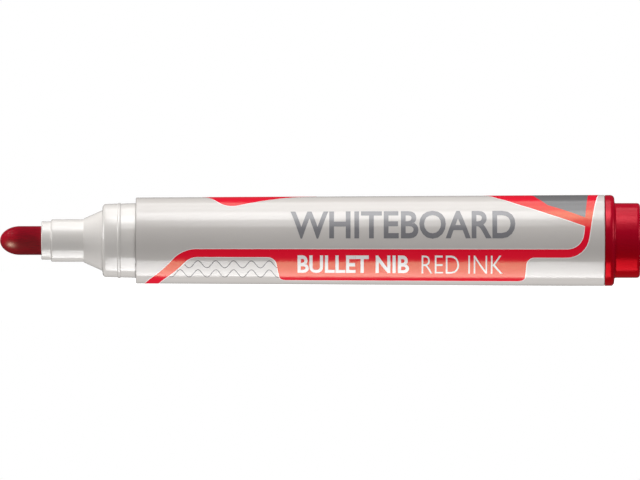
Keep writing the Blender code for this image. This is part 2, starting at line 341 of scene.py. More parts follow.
def wrapping_tree():
    """Bends flat artwork round the tapered barrel: x stays, y runs round it and z stands out."""
    numbers = dict.fromkeys(("front_radius", "growth", "mean_radius"), "Float")
    tree, given = new_shape_tree("wrap_on_barrel", **numbers, corner="Vector")
    position = add_node(tree, "GeometryNodeInputPosition")
    flat = add_node(tree, "ShaderNodeSeparateXYZ", {"Vector": position}).outputs
    taper = {0: flat["X"], 1: given["Growth"], 2: given["Front radius"]}
    surface = add_node(tree, "ShaderNodeMath", taper, operation="MULTIPLY_ADD")
    radius = add_node(tree, "ShaderNodeMath", {0: surface, 1: flat["Z"]}, operation="ADD")
    towards = add_node(tree, "ShaderNodeMath", {0: radius, 1: -1.0}, operation="MULTIPLY")
    round_it = {0: flat["Y"], 1: given["Mean radius"]}
    angle = add_node(tree, "ShaderNodeMath", round_it, operation="DIVIDE")
    facing = add_node(tree, "ShaderNodeCombineXYZ", {"X": flat["X"], "Y": towards})
    turn = {"Vector": facing, "Angle": angle}
    place = add_node(tree, "ShaderNodeVectorRotate", turn, rotation_type="X_AXIS", invert=True)
    moved = {"Geometry": given["Geometry"], "Position": place, "Offset": given["Corner"]}
    bent = add_node(tree, "GeometryNodeSetPosition", moved)
    closed = add_node(tree, "GeometryNodeMergeByDistance", {"Geometry": bent, "Distance": WELD})
    return finish_tree(tree, given, closed)


def wave_tree():
    """Draws one flat wavy line as a thin ribbon of ink."""
    numbers = dict.fromkeys(("swing", "crest", "period", "width", "ink"), "Float")
    tree, given = new_shape_tree("flat_wave", start="Vector", end="Vector", **numbers)
    ends = {"Start": given["Start"], "End": given["End"]}
    line = add_node(tree, "GeometryNodeCurvePrimitiveLine", ends)
    fine = add_node(tree, "GeometryNodeResampleCurve", {"Curve": line, "Count": WAVE_POINTS})
    position = add_node(tree, "GeometryNodeInputPosition")
    along = add_node(tree, "ShaderNodeSeparateXYZ", {"Vector": position}).outputs["X"]
    offset = {0: along, 1: given["Crest"]}
    from_crest = add_node(tree, "ShaderNodeMath", offset, operation="SUBTRACT")
    share = {0: from_crest, 1: given["Period"]}
    turns = add_node(tree, "ShaderNodeMath", share, operation="DIVIDE")
    angle = add_node(tree, "ShaderNodeMath", {0: turns, 1: 2 * math.pi}, operation="MULTIPLY")
    wave = add_node(tree, "ShaderNodeMath", {0: angle}, operation="COSINE")
    rise = {0: wave, 1: given["Swing"]}
    height = add_node(tree, "ShaderNodeMath", rise, operation="MULTIPLY")
    lift = add_node(tree, "ShaderNodeCombineXYZ", {"Y": height})
    wavy = add_node(tree, "GeometryNodeSetPosition", {"Geometry": fine, "Offset": lift})
    nib = {"Width": given["Width"], "Height": given["Ink"]}
    ribbon = add_node(tree, "GeometryNodeCurvePrimitiveQuadrilateral", nib)
    inked = {"Curve": wavy, "Profile Curve": ribbon, "Fill Caps": True}
    return finish_tree(tree, given, add_node(tree, "GeometryNodeCurveToMesh", inked))


# ------------ shapes


def rounded(corners, closed=True):
    """Points of an outline from (x, y) or (x, y, corner radius) corners, with an arc at each."""
    points = []
    last = len(corners) - 1
    for index, corner in enumerate(corners):
        here = Vector(corner[:2])
        radius = corner[2] if len(corner) > 2 else 0.0
        if radius == 0.0 or (not closed and index in (0, last)):
            points.append(here)
            continue
        back = (Vector(corners[index - 1][:2]) - here).normalized()
        onward = (Vector(corners[(index + 1) % len(corners)][:2]) - here).normalized()
        half = back.angle(onward) / 2
        centre = here + (back + onward).normalized() * radius / math.sin(half)
        start = here + back * radius / math.tan(half) - centre
        end = here + onward * radius / math.tan(half) - centre
        turn = math.atan2(start.x * end.y - start.y * end.x, start.dot(end))
        for step in range(ARC_STEPS + 1):
            angle = math.atan2(start.y, start.x) + turn * step / ARC_STEPS
            points.append(centre + radius * Vector((math.cos(angle), math.sin(angle))))
    return points


def outline_mesh(name, points, closed):
    mesh = bpy.data.meshes.new(name)
    edges = [(i, i + 1) for i in range(len(points) - 1)]
    if closed:
        edges.append((len(points) - 1, 0))
    mesh.from_pydata([(p[0], p[1], 0.0) for p in points], edges, [])
    return mesh


def placed(name, data):
    """A new object in the scene, in place of one with its name from an earlier run."""
    old = bpy.data.objects.get(name)
    if old:
        bpy.data.objects.remove(old, do_unlink=True)
    made = bpy.data.objects.new(name, data)
    bpy.context.scene.collection.objects.link(made)
    return made


def evaluated(drawn):
    """The plain mesh that an object's curve, text or modifiers make."""
    bpy.context.view_layer.update()
    graph = bpy.context.evaluated_depsgraph_get()
    return bpy.data.meshes.new_from_object(drawn.evaluated_get(graph))


def bake(piece):
    """Replaces the piece's mesh by the one that its modifiers make."""
    mesh = evaluated(piece)
    piece.modifiers.clear()
    piece.data = mesh


def built(name, mesh, tree, **values):
    """The object, with plain mesh, that a node tree makes from a mesh."""
    piece = placed(name, mesh)
    modifier = piece.modifiers.new("shape", "NODES")
    modifier.node_group = tree
    for socket in tree.interface.items_tree:
        key = socket.name.lower().replace(" ", "_")
        if socket.in_out == "INPUT" and key in values:
            modifier[socket.identifier] = values[key]
    bake(piece)
    return piece


def turned(name, outline, material, closed=True):
    """The outline swept round the axis; a closed one makes a ring, an open one meets the axis."""
    return built(
        name,
        outline_mesh(name, outline, closed),
        bpy.data.node_groups.get("turn_outline") or turning_tree(),
        sides=SIDES,
        height=AXIS_HEIGHT,
        material=material,
    )


def bars(name, material, count, ends, reach, width):
    """Equal bars round the axis: ends are the front and rear x, reach the inner and outer radius."""
    return built(
        name,
        bpy.data.meshes.new(name),
        bpy.data.node_groups.get("bars_round_axis") or bars_tree(),
        count=count,
        size=(ends[1] - ends[0], width, reach[1] - reach[0]),
        middle=((ends[0] + ends[1]) / 2, 0.0, (reach[0] + reach[1]) / 2),
        height=AXIS_HEIGHT,
        material=material,
    )


def smooth(piece):
    """Turns the faces outwards and shades the piece smooth between its edges."""
    cage = bmesh.new()
    cage.from_mesh(piece.data)
    bmesh.ops.recalc_face_normals(cage, faces=cage.faces)
    cage.to_mesh(piece.data)
    cage.free()
    piece.data.shade_smooth()
    piece.data.set_sharp_from_angle(angle=SHARP_ANGLE)


def settle(piece, body, slot, *replaced):
    """Hands a finished piece to the frame."""
    smooth(piece)
    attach(piece, body)
    if replaced:
        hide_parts(*replaced)


# ------------ materials


def new_material(name):
    """An empty material, its tree and the socket of coordinates in metres."""
    old = bpy.data.materials.get(name)
    if old:
        bpy.data.materials.remove(old)
    material = bpy.data.materials.new(name)
    material.use_nodes = True
    tree = material.node_tree
    return material, tree, add_node(tree, "ShaderNodeTexCoord").outputs["Object"]


def finish(material, bump, inputs, tones=None):
    """Feeds the material's shader with a relief, its other inputs and a colour mix if it has one."""
    tree = material.node_tree
    if tones:
        inputs["Base Color"] = add_node(tree, "ShaderNodeMix", tones, data_type="RGBA")
    inputs["Normal"] = add_node(tree, "ShaderNodeBump", bump)
    feed(tree, tree.nodes["Principled BSDF"], inputs)
    return material


def grain(tree, place, along, across, detail=2.0):
    """Noise whose marks are this long on the marker's axis and this wide off it."""
    scale = (1 / along, 1 / across, 1 / across)
    stretched = add_node(tree, "ShaderNodeMapping", {"Vector": place, "Scale": scale})
    marks = {"Vector": stretched, "Scale": 1.0, "Detail": detail}
    return add_node(tree, "ShaderNodeTexNoise", marks)


def shaded(tint, share):
    """An opaque colour, darker or lighter than the tint by a share of itself."""
    return (*(min(1.0, channel * share) for channel in tint), 1.0)


def moulded_plastic(name, tint, roughness, specular, peel, pearl=0.0):
    """Injection-moulded polypropylene.

    The eye sees faint clouds where the pigment flowed, a slightly uneven skin that makes the edges
    of reflections waver, and fine scuffs along the pen that dull them. The skin's real ripple is
    about 0.3 mm and a scuff about 0.05 mm wide: both are drawn coarser, or neither would show.
    """
    material, tree, place = new_material(name)
    clouds = grain(tree, place, 9 * MM, 5 * MM, detail=3.0)
    tones = {SHARE: clouds, DARK: shaded(tint, 0.965), LIGHT: shaded(tint, 1.02)}
    skin = grain(tree, place, 0.8 * MM, 0.8 * MM)
    bump = {"Height": skin, "Strength": peel, "Distance": 0.02 * MM}
    wear = {
        "Value": grain(tree, place, 7 * MM, 0.22 * MM, detail=4.0),
        "From Min": 0.45,
        "From Max": 0.75,
        "To Min": 0.9 * roughness,
        "To Max": 1.25 * roughness,
    }
    inputs = {
        "Roughness": add_node(tree, "ShaderNodeMapRange", wear),
        "Specular IOR Level": specular,
        "Metallic": pearl,
    }
    return finish(material, bump, inputs, tones)


def printed_ink(name, tint, roughness, body=1.0, glow=0.0, sheen=WHITE):
    """Screen-printed ink, baked dry.

    The eye sees a flat, strong colour with a slight mottle where the mesh left more or less ink,
    and softened reflections. A real mesh mark is about 0.08 mm wide: it is drawn 0.5 mm wide,
    or it wouldn't show. Body is the share of the tint that answers to light, and glow is light the
    ink is drawn as giving off, which keeps it nearly one red in light and in shade. Sheen is the
    colour of its reflections.
    """
    material, tree, place = new_material(name)
    mottle = grain(tree, place, 0.5 * MM, 0.5 * MM, detail=4.0)
    tones = {SHARE: mottle, DARK: shaded(tint, 0.93 * body), LIGHT: shaded(tint, 1.04 * body)}
    dulling = {
        "Value": mottle,
        "From Min": 0.3,
        "From Max": 0.7,
        "To Min": 0.9 * roughness,
        "To Max": 1.2 * roughness,
    }
    bump = {"Height": mottle, "Strength": 0.12, "Distance": 0.01 * MM}
    inputs = {
        "Roughness": add_node(tree, "ShaderNodeMapRange", dulling),
        "Specular IOR Level": 0.32,
        "Specular Tint": (*linear(sheen), 1.0),
        "Emission Color": (*tint, 1.0),
        "Emission Strength": glow,
    }
    return finish(material, bump, inputs, tones)


def pressed_felt(name, tint):
    """Pressed polyester felt, soaked with ink.

    The eye sees fine strands along the nib and a wet gloss that comes and goes. A strand is about
    0.03 mm thick: it is drawn 0.13 mm thick, or it wouldn't show.
    """
    material, tree, place = new_material(name)
    strands = grain(tree, place, 1.6 * MM, 0.13 * MM, detail=4.0)
    stretch = {"Value": strands, "From Min": 0.3, "From Max": 0.7}
    contrast = add_node(tree, "ShaderNodeMapRange", stretch)
    tones = {SHARE: contrast, DARK: shaded(tint, 0.7), LIGHT: shaded(tint, 1.3)}
    wet = grain(tree, place, 3 * MM, 1.8 * MM)
    gloss = {"Value": wet, "From Min": 0.3, "From Max": 0.7, "To Min": 0.3, "To Max": 0.42}
    bump = {"Height": strands, "Strength": 0.35, "Distance": 0.05 * MM}
    inputs = {
        "Roughness": add_node(tree, "ShaderNodeMapRange", gloss),
        "Specular IOR Level": 0.9,
        "IOR": POLYESTER_IOR,
    }
    return finish(material, bump, inputs, tones)


def bundled_fibre(name, tint):
    """Polyester fibre drawn into a bundle, which holds the ink.

    The eye sees long dull strands, stained unevenly. A fibre is about 0.02 mm thick: it is drawn
    0.18 mm thick, or it wouldn't show.
    """
    material, tree, place = new_material(name)
    strands = grain(tree, place, 12 * MM, 0.18 * MM, detail=5.0)
    stain = grain(tree, place, 8 * MM, 3 * MM)
    spread = add_node(tree, "ShaderNodeMath", {0: strands, 1: stain}, operation="MULTIPLY")
    stretch = {"Value": spread, "From Min": 0.1, "From Max": 0.4}
    strength = add_node(tree, "ShaderNodeMapRange", stretch)
    tones = {SHARE: strength, DARK: shaded(tint, 0.5), LIGHT: shaded(tint, 1.5)}
    bump = {"Height": strands, "Strength": 0.6, "Distance": 0.08 * MM}
    return finish(material, bump, {"Roughness": 0.85}, tones)


def shrunk_film(name, tint):
    """Polypropylene film, shrunk round the fibre.

    The eye sees a milky skin with soft creases along it, each about 1 mm wide.
    """
    material, tree, place = new_material(name)
    creases = grain(tree, place, 15 * MM, 1.1 * MM, detail=3.0)
    tones = {SHARE: creases, DARK: shaded(tint, 0.9), LIGHT: shaded(tint, 1.05)}
    bump = {"Height": creases, "Strength": 0.4, "Distance": 0.1 * MM}
    return finish(material, bump, {"Roughness": 0.3}, tones)


def matt_paper(name):
    """A seamless sheet of matt white paper.

    The eye sees plain white that the marker's soft shadow barely greys, with the faint tooth of
    the paper. It is drawn as giving off light, more of it away from the marker, so that it meets
    the white background without an edge.
    """
    material, tree, place = new_material(name)
    away = add_node(tree, "ShaderNodeVectorMath", {0: place}, operation="LENGTH")
    fill = {
        "Value": away,
        "From Min": SHADOW_REACH,
        "From Max": WHITE_REACH,
        "To Min": PAPER_GLOW,
        "To Max": 1.0,
    }
    tooth = grain(tree, place, 1 * MM, 1 * MM)
    bump = {"Height": tooth, "Strength": 0.1, "Distance": 0.02 * MM}
    inputs = {
        "Base Color": (*linear(PAPER), 1.0),
        "Roughness": 0.9,
        "Emission Color": (*linear(WHITE), 1.0),
        "Emission Strength": add_node(tree, "ShaderNodeMapRange", fill),
    }
    return finish(material, bump, inputs)


# ------------ pieces


def barrel_radius(sizes, x):
    share = (x - BARREL_FRONT) / (BARREL_REAR - BARREL_FRONT)
    return sizes.front_radius + share * (sizes.rear_radius - sizes.front_radius)


def make_barrel(scene):
    """Tapered tube, with a rebate at its front for the nose, and the ribs inside it."""
    sizes, nose, core = scene.marker_barrel, scene.marker_nose, scene.marker_core
    tint = scene.marker_colours.barrel
    plastic = moulded_plastic(
        "moulded_white_polypropylene", tint, roughness=0.16, specular=0.4, peel=0.07
    )
    rebate = nose.seat_rear + core.fit
    rebate_end = BARREL_FRONT + REBATE_DEPTH
    bore_front = barrel_radius(sizes, rebate_end) - sizes.wall
    bore_rear = sizes.rear_radius - sizes.wall
    corners = [
        (BARREL_FRONT, rebate, STEP_ROUND),
        (BARREL_FRONT, sizes.front_radius, sizes.edge),
        (BARREL_REAR, sizes.rear_radius, sizes.edge),
        (BARREL_REAR, bore_rear, RIM_ROUND),
        (rebate_end, bore_front, STEP_ROUND),
        (rebate_end, rebate, REBATE_FOOT_ROUND),
    ]
    tube = turned("barrel_tube", rounded(corners), plastic)
    settle(tube, "marker", "white_plastic", "barrel")

    ends = (CORE_FRONT + sizes.rib_inset, CORE_REAR - sizes.rib_inset)
    reach = (core.film_radius + core.fit, barrel_radius(sizes, ends[0]) - 0.5 * sizes.wall)
    ribs = bars("barrel_ribs", plastic, sizes.rib_count, ends, reach, sizes.rib_width)
    settle(ribs, "marker", "white_plastic")


def make_nose(scene):
    """Stepped nose in one moulding: lip, sleeve, cone, cap seat with its bead, and spigot."""
    sizes, tube, core = scene.marker_nose, scene.marker_barrel, scene.marker_core
    tint = scene.marker_colours.nose
    plastic = moulded_plastic(
        "gloss_moulded_polypropylene", tint, roughness=0.17, specular=0.5, peel=0.05
    )
    sleeve = SECTION_FRONT + sizes.lip_length
    cone = sleeve + sizes.sleeve_length
    shoulder = cone + sizes.cone_length
    neck_end = BARREL_FRONT + REBATE_DEPTH - core.fit
    bead = shoulder + sizes.bead_offset
    bore = core.nib_radius + core.fit
    guide = bore + sizes.wall - GUIDE_THINNING
    spigot = barrel_radius(tube, neck_end) - tube.wall - core.fit
    hollow = spigot - sizes.wall
    seat_slope = (sizes.seat_rear - sizes.seat_front) / (BARREL_FRONT - shoulder)
    seat_at_bead = sizes.seat_front + seat_slope * sizes.bead_offset
    half = BEAD_HALF_LENGTH
    crest = seat_at_bead + sizes.bead_height
    corners = [
        (SECTION_FRONT, bore, MOUTH_ROUND),
        (SECTION_FRONT, sizes.lip_radius, LIP_ROUND),
        (sleeve, sizes.lip_radius, STEP_ROUND),
        (sleeve, sizes.sleeve_radius, SLEEVE_ROUND),
        (cone, sizes.sleeve_radius, FOOT_ROUND),
        (cone, sizes.cone_front, STEP_ROUND),
        (shoulder, sizes.cone_rear, CONE_ROUND),
        (shoulder, sizes.seat_front, sizes.shoulder_round),
        (bead - half, seat_at_bead, FINE_ROUND),
        (bead - BEAD_CREST_SHARE * half, crest, CREST_ROUND),
        (bead + BEAD_CREST_SHARE * half, crest, CREST_ROUND),
        (bead + half, seat_at_bead, FINE_ROUND),
        (neck_end, sizes.seat_rear, STEP_ROUND),
        (neck_end, spigot, FOOT_ROUND),
        (SECTION_REAR, spigot, SOFT_ROUND),
        (SECTION_REAR, hollow, GUIDE_ROUND),
        (shoulder + sizes.wall, hollow, SOFT_ROUND),
        (cone + sizes.wall, guide, SOFT_ROUND),
        (SECTION_REAR, guide, GUIDE_ROUND),
        (SECTION_REAR, bore, GUIDE_ROUND),
    ]
    nose = turned("nose_section", rounded(corners), plastic)

    ends = (SECTION_FRONT - OVERRUN, SECTION_REAR + OVERRUN)
    reach = (bore - sizes.vent_width, bore + sizes.vent_depth)
    grooves = bars("vent_cutter", plastic, sizes.vent_count, ends, reach, sizes.vent_width)
    smooth(nose)
    cut = nose.modifiers.new("vents", "BOOLEAN")
    cut.operation = "DIFFERENCE"
    cut.solver = "EXACT"
    cut.object = grooves
    bake(nose)
    bpy.data.objects.remove(grooves, do_unlink=True)
    settle(nose, "marker", "nose_plastic", "nib_section")


def make_nib(scene):
    """Bullet nib: a half-ellipse nose, a shank and a tapered tail in the reservoir."""
    sizes = scene.marker_core
    felt = pressed_felt("pressed_polyester_felt", scene.marker_colours.nib)
    outline = []
    for step in range(NOSE_STEPS + 1):
        angle = math.pi / 2 * step / NOSE_STEPS
        x = NIB_FRONT + sizes.nose_length * (1 - math.cos(angle))
        outline.append((x, sizes.nib_radius * math.sin(angle)))
    outline += [
        (NIB_REAR - sizes.tail_length, sizes.nib_radius),
        (NIB_REAR, sizes.tail_radius),
        (NIB_REAR, 0.0),
    ]
    nib = turned("bullet_nib", outline, felt, closed=False)
    settle(nib, "marker", "inked_felt", "nib")


def make_reservoir(scene):
    """Fibre bundle with a socket for the nib, and the film shrunk round it."""
    sizes = scene.marker_core
    tints = scene.marker_colours
    socket_end = NIB_REAR + sizes.fit
    mouth = sizes.nib_radius + sizes.fit
    corners = [
        (socket_end, 0.0),
        (socket_end, sizes.tail_radius + sizes.fit),
        (NIB_REAR - sizes.tail_length, mouth),
        (CORE_FRONT, mouth),
        (CORE_FRONT, sizes.core_radius, SOFT_ROUND),
        (CORE_REAR, sizes.core_radius, SOFT_ROUND),
        (CORE_REAR, 0.0),
    ]
    fibre = bundled_fibre("bundled_polyester_fibre", tints.fibre)
    core = turned("fibre_bundle", rounded(corners, False), fibre, closed=False)
    settle(core, "marker", "ink_fibre", "reservoir_core")

    inner = sizes.film_radius - sizes.film
    corners = [
        (CORE_FRONT, inner),
        (CORE_FRONT, sizes.film_radius, FINE_ROUND),
        (CORE_REAR, sizes.film_radius, FINE_ROUND),
        (CORE_REAR, inner),
    ]
    wrap = shrunk_film("shrunk_polypropylene_film", tints.film)
    film = turned("bundle_film", rounded(corners), wrap)
    settle(film, "marker", "clear_film", "reservoir_wrap")


def make_plug(scene):
    """Hollow end plug: spigot, flange and post, with stop ribs that press on the reservoir."""
    sizes, tube, core = scene.marker_plug, scene.marker_barrel, scene.marker_core
    tint = scene.marker_colours.plug
    plastic = moulded_plastic(
        "pearl_red_polypropylene", tint, roughness=0.2, specular=0.1, peel=0.07, pearl=0.13
    )
    face = BARREL_REAR + core.fit
    post = face + sizes.flange_thickness
    hollow = sizes.post_radius - sizes.wall
    spigot_mouth = barrel_radius(tube, PLUG_MOUTH) - tube.wall - core.fit
    spigot_face = tube.rear_radius - tube.wall - core.fit
    corners = [
        (PLUG_REAR - sizes.wall, 0.0),
        (PLUG_REAR - sizes.wall, hollow, SOFT_ROUND),
        (face, hollow, HOLLOW_ROUND),
        (PLUG_MOUTH, spigot_mouth - sizes.wall, RIM_ROUND),
        (PLUG_MOUTH, spigot_mouth, LEAD_IN_ROUND),
        (face, spigot_face, STEP_ROUND),
        (face, tube.rear_radius, tube.edge),
        (post, tube.rear_radius, sizes.flange_round),
        (post, sizes.post_radius, sizes.fillet),
        (PLUG_REAR, sizes.post_radius, sizes.post_round),
        (PLUG_REAR, sizes.gate_radius, CREST_ROUND),
        (PLUG_REAR - sizes.gate_depth, sizes.gate_radius - GATE_SLOPE, CREST_ROUND),
        (PLUG_REAR - sizes.gate_depth, 0.0),
    ]
    plug = turned("end_plug_body", rounded(corners, False), plastic, closed=False)
    settle(plug, "plug", "red_plastic", "end_plug")

    ends = (PLUG_MOUTH + sizes.rib_inset, PLUG_REAR - 0.5 * sizes.wall)
    reach = (hollow - sizes.rib_depth, hollow + 0.5 * sizes.wall)
    ribs = bars("plug_stop_ribs", plastic, sizes.rib_count, ends, reach, sizes.rib_width)
    settle(ribs, "plug", "red_plastic")


# ------------ label


def widened(outline, margin):
    """The outline moved outwards by a margin."""
    spread = []
    turn = 0.0
    for index, point in enumerate(outline):
        onward = outline[(index + 1) % len(outline)]
        turn += point.x * onward.y - onward.x * point.y
    outwards = math.copysign(margin, turn)
    for index, point in enumerate(outline):
        along = (outline[(index + 1) % len(outline)] - outline[index - 1]).normalized()
        spread.append(point + outwards * Vector((along.y, -along.x)))
    return spread


def flat_shape(name, outline, low, high):
    """A flat solid of ink with this outline, from one height to another."""
    curve = bpy.data.curves.new(name, "CURVE")
    curve.dimensions = "2D"
    curve.fill_mode = "BOTH"
    curve.extrude = (high - low) / 2
    spline = curve.splines.new("POLY")
    spline.points.add(len(outline) - 1)
    for point, place in zip(spline.points, outline):
        point.co = (place[0], place[1], 0.0, 1.0)
    spline.use_cyclic_u = True
    mesh = drawn_mesh(curve)
    mesh.transform(Matrix.Translation((0.0, 0.0, (high + low) / 2)))
    return mesh


def drawn_mesh(curve):
    """The plain mesh of a curve or a text."""
    drawn = placed("drawing", curve)
    mesh = evaluated(drawn)
    bpy.data.objects.remove(drawn, do_unlink=True)
    return mesh


def quarter_turn(tube):
    """The distance round the barrel from the line facing the viewer to the top line."""
    return math.pi / 2 * (tube.front_radius + tube.rear_radius) / 2


def slice_at(cage, height, facing=1.0, **settings):
    """Cuts the mesh along the barrel at this distance round it."""
    everything = [*cage.verts, *cage.edges, *cage.faces]
    plane = {"plane_co": (0.0, height, 0.0), "plane_no": (0.0, facing, 0.0)}
    bmesh.ops.bisect_plane(cage, geom=everything, dist=WELD, **plane, **settings)


def copy_to_back(cage, top, middle):
    """Adds the copy on the far side: mirrored over the top line, or turned about a middle x."""
    for side in (top, -top):
        slice_at(cage, side, math.copysign(1.0, side), clear_outer=True)
    copied = bmesh.ops.duplicate(cage, geom=[*cage.verts, *cage.edges, *cage.faces])
    for vert in copied["geom"]:
        if isinstance(vert, bmesh.types.BMVert):
            vert.co.y = 2 * top - vert.co.y
            if middle:
                vert.co.x = 2 * middle - vert.co.x
    bmesh.ops.remove_doubles(cage, verts=cage.verts, dist=WELD)


def wrapped(name, mesh, material, tube, middle=None):
    """Cuts flat ink into narrow strips along the barrel and wraps it round, on both sides."""
    cage = bmesh.new()
    cage.from_mesh(mesh)
    bmesh.ops.remove_doubles(cage, verts=cage.verts, dist=WELD)
    top = quarter_turn(tube)
    strips = math.ceil(top / STRIP)
    for line in range(1 - strips, strips):
        slice_at(cage, top * line / strips)
    copy_to_back(cage, top, middle)
    bmesh.ops.triangulate(cage, faces=cage.faces)
    cage.to_mesh(mesh)
    cage.free()
    mesh.materials.clear()
    piece = built(
        name,
        mesh,
        bpy.data.node_groups.get("wrap_on_barrel") or wrapping_tree(),
        front_radius=tube.front_radius,
        growth=(tube.rear_radius - tube.front_radius) / (BARREL_REAR - BARREL_FRONT),
        mean_radius=(tube.front_radius + tube.rear_radius) / 2,
        corner=(BARREL_FRONT, 0.0, AXIS_HEIGHT),
        material=material,
    )
    settle(piece, "marker", "white_plastic")
    # The floor sees through the print, or the light from below would throw its red on the floor.
    piece.visible_diffuse = False


def lettering(words, across, middle, capital, weight, layer):
    """A flat solid of one line of capitals: across is its left and right, layer its heights."""
    left, right = across
    low, high = layer
    text = bpy.data.curves.new("lettering", "FONT")
    text.body = words
    text.size = 1.0
    text.offset = weight
    text.resolution_u = LETTER_STEPS
    text.extrude = 0.5
    mesh = drawn_mesh(text)
    xs = [vert.co.x for vert in mesh.vertices]
    ys = [vert.co.y for vert in mesh.vertices]
    wide = (right - left) / (max(xs) - min(xs))
    tall = capital / (max(ys) - min(ys))
    for vert in mesh.vertices:
        x = left + (vert.co.x - min(xs)) * wide
        y = middle + (vert.co.y - (max(ys) + min(ys)) / 2) * tall
        z = high if vert.co.z > 0 else low
        vert.co = (x, y, z)
    return mesh


def red_corners(label, over):
    """The red print in one outline: each corner's place, and the rounding it gets."""
    band, under, panel = -label.band_top, -label.band_bottom, -label.panel_bottom
    return {
        "sweep foot, front": (1.5 * MM, -over),
        "sweep bend, front": (2.2 * MM, -10.2 * MM, 8.0 * MM),
        "band, front": (9.2 * MM, band, 6.0 * MM),
        "band, rear": (88.25 * MM, band, 3.3 * MM),
        "stripe foot": (88.75 * MM, 2.8 * MM),
        "stripe bend, low": (81.5 * MM, 5.5 * MM, 20.0 * MM),
        "stripe bend, middle": (75.6 * MM, 8.05 * MM, 12.0 * MM),
        "stripe bend, high": (71.2 * MM, 10.8 * MM, 5.0 * MM),
        "stripe tip": (67.9 * MM, over),
        "window top, front": (77.7 * MM, over),
        "window bend, high": (79.3 * MM, 10.5 * MM, 3.0 * MM),
        "window bend, low": (81.35 * MM, 7.85 * MM, 1.0 * MM),
        "window foot": (88.8 * MM, 4.65 * MM),
        "window top, rear": (89.65 * MM, over),
        "frame top": (91.75 * MM, over),
        "frame foot": (89.0 * MM, under, 4.6 * MM),
        "panel shoulder, rear": (77.3 * MM, under, 1.6 * MM),
        "panel foot, rear": (76.8 * MM, panel, 1.5 * MM),
        "panel foot, front": (28.6 * MM, panel, 1.3 * MM),
        "panel shoulder, front": (27.6 * MM, under, 1.8 * MM),
        "sweep top, rear": (10.7 * MM, under, 3.4 * MM),
        "sweep bend, rear": (4.7 * MM, -10.6 * MM, 8.0 * MM),
        "sweep foot, rear": (4.3 * MM, -over),
    }


def leaf_corners(over):
    """Half of the red leaf on top, up to just past the top line."""
    return {
        "top, front": (12.45 * MM, over),
        "lowest point": (17.85 * MM, 7.3 * MM, 3.4 * MM),
        "top, rear": (38.5 * MM, over),
    }


def patch_corners(over):
    """Half of the grey patch: it fills the window in the red print and laps under its edge."""
    return {
        "top, front": (77.4 * MM, over),
        "bend, high": (79.0 * MM, 10.3 * MM, 3.0 * MM),
        "bend, low": (81.1 * MM, 7.6 * MM, 1.0 * MM),
        "foot": (89.0 * MM, 4.35 * MM),
        "top, rear": (89.95 * MM, over),
    }


def make_print(scene):
    """The label's flat shapes: red sweep, band and panel, red leaf on top and grey patch."""
    label, tube, tints = scene.marker_label, scene.marker_barrel, scene.marker_colours
    # The red ink answers to light with only 0.6 of its tint and has a painted glow: it gives off
    # light though it is no lamp, so it stays nearly one red in light and in shade.
    red_ink_painted_glow = {"body": 0.6, "glow": 0.24, "sheen": RED_SHEEN}
    red = printed_ink("screen_printed_red_ink", tints.red_ink, roughness=0.18, **red_ink_painted_glow)
    grey = printed_ink("screen_printed_grey_ink", tints.grey_ink, roughness=0.18)
    underlay = printed_ink("screen_printed_underlay", tints.white_ink, roughness=0.18)
    over = quarter_turn(tube) + OVERRUN
    shapes = {"print_red_band": red_corners(label, over), "print_red_leaf": leaf_corners(over)}
    for name, corners in shapes.items():
        outline = rounded([*corners.values()])
        wrapped(name, flat_shape(name, outline, -INK_SUNK, label.ink), red, tube)
        rim = widened(outline, label.rim)
        white = flat_shape(name, rim, -INK_SUNK, UNDERLAY_SHARE * label.ink)
        wrapped(name.replace("red", "white"), white, underlay, tube)

    outline = rounded([*patch_corners(over).values()])
    patch = flat_shape("patch", outline, -INK_SUNK, PATCH_SHARE * label.ink)
    wrapped("print_grey_patch", patch, grey, tube)


def make_lettering(scene):
    """Plain capitals that say what the object is."""
    label, tube, tints = scene.marker_label, scene.marker_barrel, scene.marker_colours
    dark = printed_ink("screen_printed_silver_ink", tints.title_ink, roughness=0.2)
    white = printed_ink("screen_printed_white_ink", tints.white_ink, roughness=0.22)
    title = lettering(
        "WHITEBOARD",
        across=(label.title_left, label.title_right),
        middle=label.title_rise,
        capital=label.title,
        weight=TITLE_WEIGHT,
        layer=(-INK_SUNK, label.ink),
    )
    wrapped("print_title", title, dark, tube, (label.title_left + label.title_right) / 2)

    middle = (label.caption_left + label.caption_right) / 2
    light_left = label.caption_gap + label.caption_space
    captions = {
        "print_caption_bold": ("BULLET NIB", label.caption_left, label.caption_gap, BOLD_WEIGHT),
        "print_caption_light": ("RED INK", light_left, label.caption_right, LIGHT_WEIGHT),
    }
    for name, (words, left, right, weight) in captions.items():
        line = lettering(
            words,
            across=(left, right),
            middle=-label.caption_drop,
            capital=label.caption,
            weight=weight,
            layer=(WORDS_LOW * label.ink, WORDS_HIGH * label.ink),
        )
        wrapped(name, line, white, tube, middle)


def make_waves(scene):
    """Two thin wavy lines in the window between the sweep and the panel."""
    label, tube, tints = scene.marker_label, scene.marker_barrel, scene.marker_colours
    grey = printed_ink("screen_printed_line_ink", tints.line_ink, roughness=0.22)
    # Each line's start, end, distance of its middle from the facing line, and swing.
    rows = {
        "print_wave_upper": (9.7 * MM, 28.0 * MM, -5.1 * MM, 0.84 * MM),
        "print_wave_lower": (6.7 * MM, 28.3 * MM, -7.6 * MM, 1.15 * MM),
    }
    for name, (start, end, middle, swing) in rows.items():
        flat = built(
            "flat_" + name,
            bpy.data.meshes.new(name),
            bpy.data.node_groups.get("flat_wave") or wave_tree(),
            start=(start, middle, 0.0),
            end=(end, middle, 0.0),
            swing=swing,
            crest=label.wave_crest,
            period=label.wave_period,
            width=label.wave_width,
            ink=WAVE_SHARE * label.ink,
            material=grey,
        )
        mesh = flat.data
        bpy.data.objects.remove(flat, do_unlink=True)
        wrapped(name, mesh, grey, tube)


# ------------ stage


